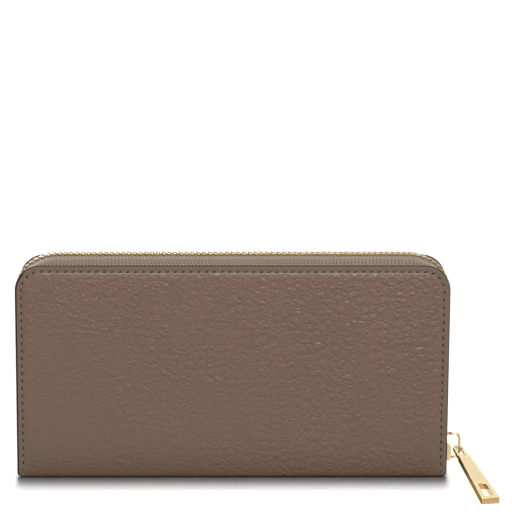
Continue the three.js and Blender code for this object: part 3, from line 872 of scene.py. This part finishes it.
# ---- Refined copies of CAD solids
def modify(made, kind, **settings):
    set_all(made.modifiers.new(kind.lower(), kind), settings)


def apply_modifiers(made):
    graph = bpy.context.evaluated_depsgraph_get()
    mesh = bpy.data.meshes.new_from_object(made.evaluated_get(graph))
    made.modifiers.clear()
    made.data = mesh


def refined(node, name, body, material, bevel, segments=3):
    """A copy of a CAD solid with welded faces and rounded edges, which stands for it."""
    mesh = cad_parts[node].data.copy()
    mesh.materials.clear()
    mesh.materials.append(material)
    made = bpy.data.objects.new(name, mesh)
    bpy.context.scene.collection.objects.link(made)
    modify(made, "WELD", merge_threshold=0.02 * MM)
    modify(made, "DECIMATE", decimate_type="DISSOLVE", angle_limit=math.radians(1.5))
    rounding = {"limit_method": "ANGLE", "angle_limit": math.radians(25)}
    modify(made, "BEVEL", width=bevel * MM, segments=segments, **rounding)
    modify(made, "WELD", merge_threshold=0.002 * MM)
    apply_modifiers(made)
    shade_smooth(made.data)
    made.data.set_sharp_from_angle(angle=math.radians(50))
    modify(made, "WEIGHTED_NORMAL", keep_sharp=True)
    apply_modifiers(made)
    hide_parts(node)
    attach(made, body)
    return made


# ---- Slider, bail and pull
PULL_PIVOT_Z = 8.8
PULL_TURN = math.radians(80)  # from the wallet's length towards the front
PULL_TIP = 51.2  # from the pivot to the tip
PULL_THICK = 3.0
PULL_FLOOR_GAP = 0.15
LABEL = (11.0, 33.5, 1.3, 0.035)  # the satin panel's start, end, half width at the pivot and widening


def pull_axes():
    """The pull's pivot on the bail's bar, and its axes: towards the tip, across and out of its face.
    It dips until its tip nearly lies on the floor."""
    bail_low, bail_high = box_mm("zip_slider_bail")
    wire = (bail_high[1] - bail_low[1]) / 2
    pivot = np.array([bail_high[0] - wire, 0, PULL_PIVOT_Z])
    dip = 0.0
    for _ in range(20):
        drop = PULL_PIVOT_Z - PULL_FLOOR_GAP - PULL_THICK / 2 * math.cos(dip)
        dip = math.asin(drop / PULL_TIP)
    level = np.array([math.cos(PULL_TURN), -math.sin(PULL_TURN), 0])
    along = level * math.cos(dip) - np.array([0, 0, math.sin(dip)])
    across = np.array([math.sin(PULL_TURN), math.cos(PULL_TURN), 0])
    return pivot, along, across, np.cross(along, across)


def pull_face_gold():
    """Polished gold with a long satin panel, very slightly sunk and left blank."""
    s = Shader("gold_pull_face", Metallic=1.0)
    vector, *_ = s.place()
    pivot, along, across, _ = pull_axes()
    dot = {"operation": "DOT_PRODUCT"}
    spots = [s.fed("VectorMath", dot, vector, axis) for axis in (along, across)]
    x = s.minus(spots[0].outputs["Value"], float(pivot @ along))
    y = s.math("ABSOLUTE", s.minus(spots[1].outputs["Value"], float(pivot @ across)))
    start, end, half, widening = LABEL
    inside = s.minus(s.plus(half, s.times(x, widening)), y)
    inside = s.math("MINIMUM", inside, s.minus(x, start))
    inside = s.math("MINIMUM", inside, s.minus(end, x))
    panel = s.times(inside, 4.0, clamp=True)
    marks = s.noise(vector, 0.8, detail=4.0, roughness=0.65)
    colour = s.mix(s.times(marks, 0.6), rgb(232, 216, 172), rgb(216, 193, 138))
    rough = s.plus(0.15, s.plus(s.times(marks, 0.06), s.times(panel, 0.1)))
    s.look(Base_Color=colour, Roughness=rough)
    s.bump(s.minus(s.times(marks, 0.25), panel), 0.05, 0.6)
    return s.material


def bail_piece():
    """A bent wire from the slider's top out over the pull's bar and back to the slider's lug."""
    low, high = box_mm("zip_slider_bail")
    r = (high[1] - low[1]) / 2
    bar = high[0] - r
    top, bottom = high[2] - r, low[2] + r
    lug = box_mm("zip_slider_body")[1][0]
    upper, lower = 2.6, 1.2  # radii of its two bends
    turn = np.radians(np.linspace(0, 90, 9))
    over = np.stack([bar - upper + upper * np.sin(turn), top - upper + upper * np.cos(turn)], 1)
    under = np.stack([bar - lower + lower * np.cos(turn), bottom + lower - lower * np.sin(turn)], 1)
    line = np.concatenate([[[low[0] - 0.3, top]], over, under, [[lug - 0.3, bottom]]])
    tangent = unit(np.gradient(line, axis=0))
    side = at_depth(np.stack([tangent[:, 1], -tangent[:, 0]], 1), 0)
    points, faces = lofted(at_depth(line, 0)[:, None, :] + r * ring_round(side, 20))
    made = mesh_object("slider_bail", points, faces, [SATIN_GOLD])
    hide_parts("zip_slider_bail")
    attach(made, "zip_slider")


def pull_piece():
    """The pull is bright on its two faces; its edges and openings are duller, in darker golds of painted
    shade and painted dark reflection.
    """
    made = refined("zip_pull", "pull", "zip_pull", pull_face_gold(), 0.3)
    made.data.materials.append(SHADED_END_GOLD)
    made.data.materials.append(SHADED_SIDE_GOLD)
    pivot, along, across, up = (Vector(axis) for axis in pull_axes())
    for face in made.data.polygons:
        place, sideways = face.center / MM - pivot, face.normal.dot(across)
        if abs(face.normal.dot(up)) > 0.45 or place.dot(along) < 0:
            continue
        outer_side = place.dot(across) * sideways > 2.1 and abs(sideways) > 0.7
        face.material_index = 2 if outer_side else 1


def metal_pieces():
    refined("zip_slider_body", "slider_body", "zip_slider", SATIN_GOLD, 0.32)
    pull_piece()
    refined("zip_bottom_stop", "bottom_stop", "spine", DARKENED_TEETH_GOLD, 0.4)
    for cover in ("front", "back"):
        node = f"{cover}_zip_top_stop"
        refined(node, f"{cover}_top_stop", f"{cover}_cover", DARKENED_TEETH_GOLD, 0.4)
    refined("coin_slider_body", "coin_slider", "coin_slider", GOLD, 0.2)
    refined("coin_pull_pin", "coin_pin", "coin_slider", GOLD, 0.1)
    refined("coin_pull", "coin_pull_tab", "coin_pull", GOLD, 0.22)
    for end in ("left", "right"):
        refined(f"coin_zip_stop_{end}", f"coin_stop_{end}", "spine", DARKENED_TEETH_GOLD, 0.3)


# ---- Inside
def soft_pieces():
    """Linings, card slots, coin pocket and its tapes, and the boards, which are the CAD's own."""
    for cover in ("front", "back"):
        cloth = f"{cover}_lining_cloth"
        refined(f"{cover}_lining", cloth, f"{cover}_cover", LINING, 0.12, segments=2)
        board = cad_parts[f"{cover}_cover_board"].data
        board.materials.clear()
        board.materials.append(BOARD)
    refined("spine_lining", "spine_lining_cloth", "spine", LINING, 0.15, segments=2)
    refined("coin_pocket_bag", "coin_pocket", "spine", LINING, 0.28)
    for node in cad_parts:
        if node.startswith(("card_slot", "slip_pocket")):
            cover = "front_cover" if "front" in node else "back_cover"
            name = "slip_pocket" if "slip" in node else node.replace("card_slot", "slot")
            refined(node, name, cover, SLOT_LEATHER, 0.22)
        if node.startswith("coin_zip_tape"):
            name = node.replace("coin_zip_tape", "coin_tape")
            refined(node, name, "spine", LINING, 0.1, segments=2)


COIN_PITCH = 2.0


def coin_teeth(side):
    """One row of the coin zip's teeth."""
    low, high = box_mm(f"coin_zip_teeth_{side}")
    far, thick = max(abs(low[1]), abs(high[1])), high[2] - low[2]
    shape, faces = tooth(far, thick, head=0.56, wide=1.05)
    parts = []
    for x in np.arange(low[0] + ROW_START[side] * COIN_PITCH, high[0], COIN_PITCH):
        spot = placed(shape, [x, 0, (low[2] + high[2]) / 2], [1, 0, 0], [0, 1, 0], [0, 0, 1])
        parts.append((spot, faces))
    points, faces = for_side(side, *joined(parts))
    made = mesh_object(f"coin_teeth_{side}", points, faces, [DARKENED_TEETH_GOLD])
    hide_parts(f"coin_zip_teeth_{side}")
    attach(made, "spine")


# The right front gusset's folds as X and depth, before they are smoothed.
GUSSET_FOLD = [[91.7, 9.3], [91.1, 6.4], [78.2, 5.6], [77, 4.75], [78.2, 3.9], [86, 3.2]]
GUSSET_THICK = 0.45
GUSSET_RIPPLE = 0.25


def gusset_piece(cover, side):
    node = f"gusset_{cover}_{side}"
    low, high = box_mm(node)
    fold = np.array(GUSSET_FOLD)
    lengths = lengths_along(fold)
    line = points_at(fold, lengths, np.linspace(0, lengths[-1], 42))
    for _ in range(3):
        line[1:-1] = (line[:-2] + line[1:-1] + line[2:]) / 3
    z = np.linspace(low[2], high[2], 24)
    sign = 1 if side == "right" else -1
    swell = np.sin(np.linspace(0, math.pi, len(line)))
    grid = np.zeros((len(z), len(line), 3))
    grid[..., 0] = sign * line[:, 0] + GUSSET_RIPPLE * np.sin(z / 9.0)[:, None] * swell[None, :]
    grid[..., 1] = -line[:, 1]
    grid[..., 2] = z[:, None]
    points, faces = for_side(cover, *closed_sheet(grid, GUSSET_THICK))
    made = mesh_object(f"{cover}_gusset_{side}", points, faces, [GUSSET_LEATHER])
    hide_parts(node)
    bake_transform(made)


# ---- Floor, light and camera
def aimed(data, place, aim):
    light = bpy.data.objects.new(data.name, data)
    light.location = place
    light.rotation_euler = (Vector(aim) - Vector(place)).to_track_quat("-Z", "Y").to_euler()
    bpy.context.scene.collection.objects.link(light)
    return light


def area_light(name, place, aim, size, power):
    data = bpy.data.lights.new(name, "AREA")
    data.shape = "RECTANGLE"
    data.size, data.size_y = size
    data.energy = power
    return aimed(data, place, aim)


def linked(light, use, objects, state):
    """Light linking: includes or excludes objects as a receiver or a blocker of the light."""
    group = bpy.data.collections.new(f"{light.name}_{use}s")
    for item in objects:
        group.objects.link(item)
    for member in group.collection_objects:
        member.light_linking.link_state = state
    setattr(light.light_linking, f"{use}_collection", group)


WORLD_LIGHT = 0.1  # how bright the surroundings are overhead, next to the walls
WALL_FADE = (0.12, 0.34)  # heights at which the walls start and end dimming, as sines of the angle up
FLOOR_SUN = 5.6  # the sum of the floor lights
WASH_LIGHTS = 6


def floor_wash(floor, small_metal):
    """Soft lights high behind the wallet, for the floor alone: they draw its short shadow."""
    strengths = [math.sin(math.pi * (k + 0.6) / (WASH_LIGHTS + 0.4)) for k in range(WASH_LIGHTS)]
    for k, strength in enumerate(strengths):
        data = bpy.data.lights.new(f"floor_wash_{k}", "SUN")
        data.energy = FLOOR_SUN * strength / sum(strengths)
        data.angle = 0.07
        shadow_reach = (2.5 + 4 * k) / PANEL_TOP
        wash = aimed(data, (0, shadow_reach, 1), (0, 0, 0))
        linked(wash, "receiver", [floor], "INCLUDE")
        linked(wash, "blocker", small_metal, "EXCLUDE")


def surroundings():
    """White walls near the horizon, which dim towards the ceiling."""
    world = bpy.data.worlds.new("studio")
    bpy.context.scene.world = world
    world.use_nodes = True
    tree = world.node_tree
    background = tree.nodes["Background"]
    background.inputs[0].default_value = (1, 1, 1, 1)
    direction = tree.nodes.new("ShaderNodeTexCoord")
    parts = tree.nodes.new("ShaderNodeSeparateXYZ")
    fade = tree.nodes.new("ShaderNodeMapRange")
    fade.interpolation_type = "SMOOTHSTEP"
    limits = {"From Min": WALL_FADE[0], "From Max": WALL_FADE[1], "To Min": 1.0, "To Max": WORLD_LIGHT}
    for name, value in limits.items():
        fade.inputs[name].default_value = value
    tree.links.new(direction.outputs["Generated"], parts.inputs[0])
    tree.links.new(parts.outputs[2], fade.inputs["Value"])
    tree.links.new(fade.outputs[0], background.inputs[1])


# Name, place, aim, size and power of the wallet's own lights, in metres and watts.
WALLET_LIGHTS = (
    ("key", (0.15, -0.55, 1.15), (0, 0, 0.05), (0.7, 0.4), 22.6),
    ("rear", (0, 1.6, 1.0), (0, 0, 0.1), (2.4, 1.0), 8),
    ("glint", (0.1, -1.25, 0.85), (0, 0, 0.05), (1.0, 0.25), 12),
    ("back", (-0.5, 1.3, 0.8), (0, 0, 0.05), (0.9, 0.6), 16),
    ("ceiling", (0, 0, 1.9), (0, 0, 0), (3.0, 3.0), 9),
)


def studio(small_metal):
    """A white studio: the floor has its own lights, and the area lights fall on the wallet only."""
    bpy.context.scene.view_settings.view_transform = "Standard"
    surroundings()
    far = 6000
    corners = [[x * far, y * far, 0] for x, y in ((-1, -1), (1, -1), (1, 1), (-1, 1))]
    pale = Shader("studio_floor", 0.9, 0.0, Base_Color=(0.6, 0.6, 0.6, 1))
    floor = mesh_object("floor", corners, [[0, 1, 2, 3]], [pale.material], closed=False)
    floor_wash(floor, small_metal)
    for light in [area_light(*values) for values in WALLET_LIGHTS]:
        linked(light, "receiver", [floor], "EXCLUDE")


CAMERA_AZIMUTH = -0.533  # degrees, as are the next two
CAMERA_ELEVATION = 12.417
CAMERA_ROLL = 0.12
CAMERA_DISTANCE = 950.0
CAMERA_AIM = (10.397, 0.0, 100.786)
CAMERA_LENS = 147.9


def camera():
    azimuth, elevation = math.radians(CAMERA_AZIMUTH), math.radians(CAMERA_ELEVATION)
    level = math.cos(elevation)
    back = Vector((math.sin(azimuth) * level, -math.cos(azimuth) * level, math.sin(elevation)))
    data = bpy.data.cameras.new("camera")
    data.lens = CAMERA_LENS
    data.sensor_width = 36.0
    data.clip_end = 100
    made = bpy.data.objects.new("camera", data)
    aim = Vector(CAMERA_AIM) * MM
    turn = (-back).to_track_quat("-Z", "Y").to_matrix().to_4x4()
    place = Matrix.Translation(aim + back * CAMERA_DISTANCE * MM)
    roll = Matrix.Rotation(math.radians(CAMERA_ROLL), 4, "Z")
    made.matrix_world = place @ turn @ roll
    bpy.context.scene.collection.objects.link(made)
    bpy.context.scene.camera = made


camera()
for cover in ("front", "back"):
    hide_piece(cover)
    stitches(cover)
    tape_piece(cover)
    teeth_piece(cover)
    coin_teeth(cover)
    for side in ("left", "right"):
        gusset_piece(cover, side)
bail_piece()
metal_pieces()
soft_pieces()
studio([bpy.data.objects[name] for name in ("slider_body", "slider_bail", "pull")])
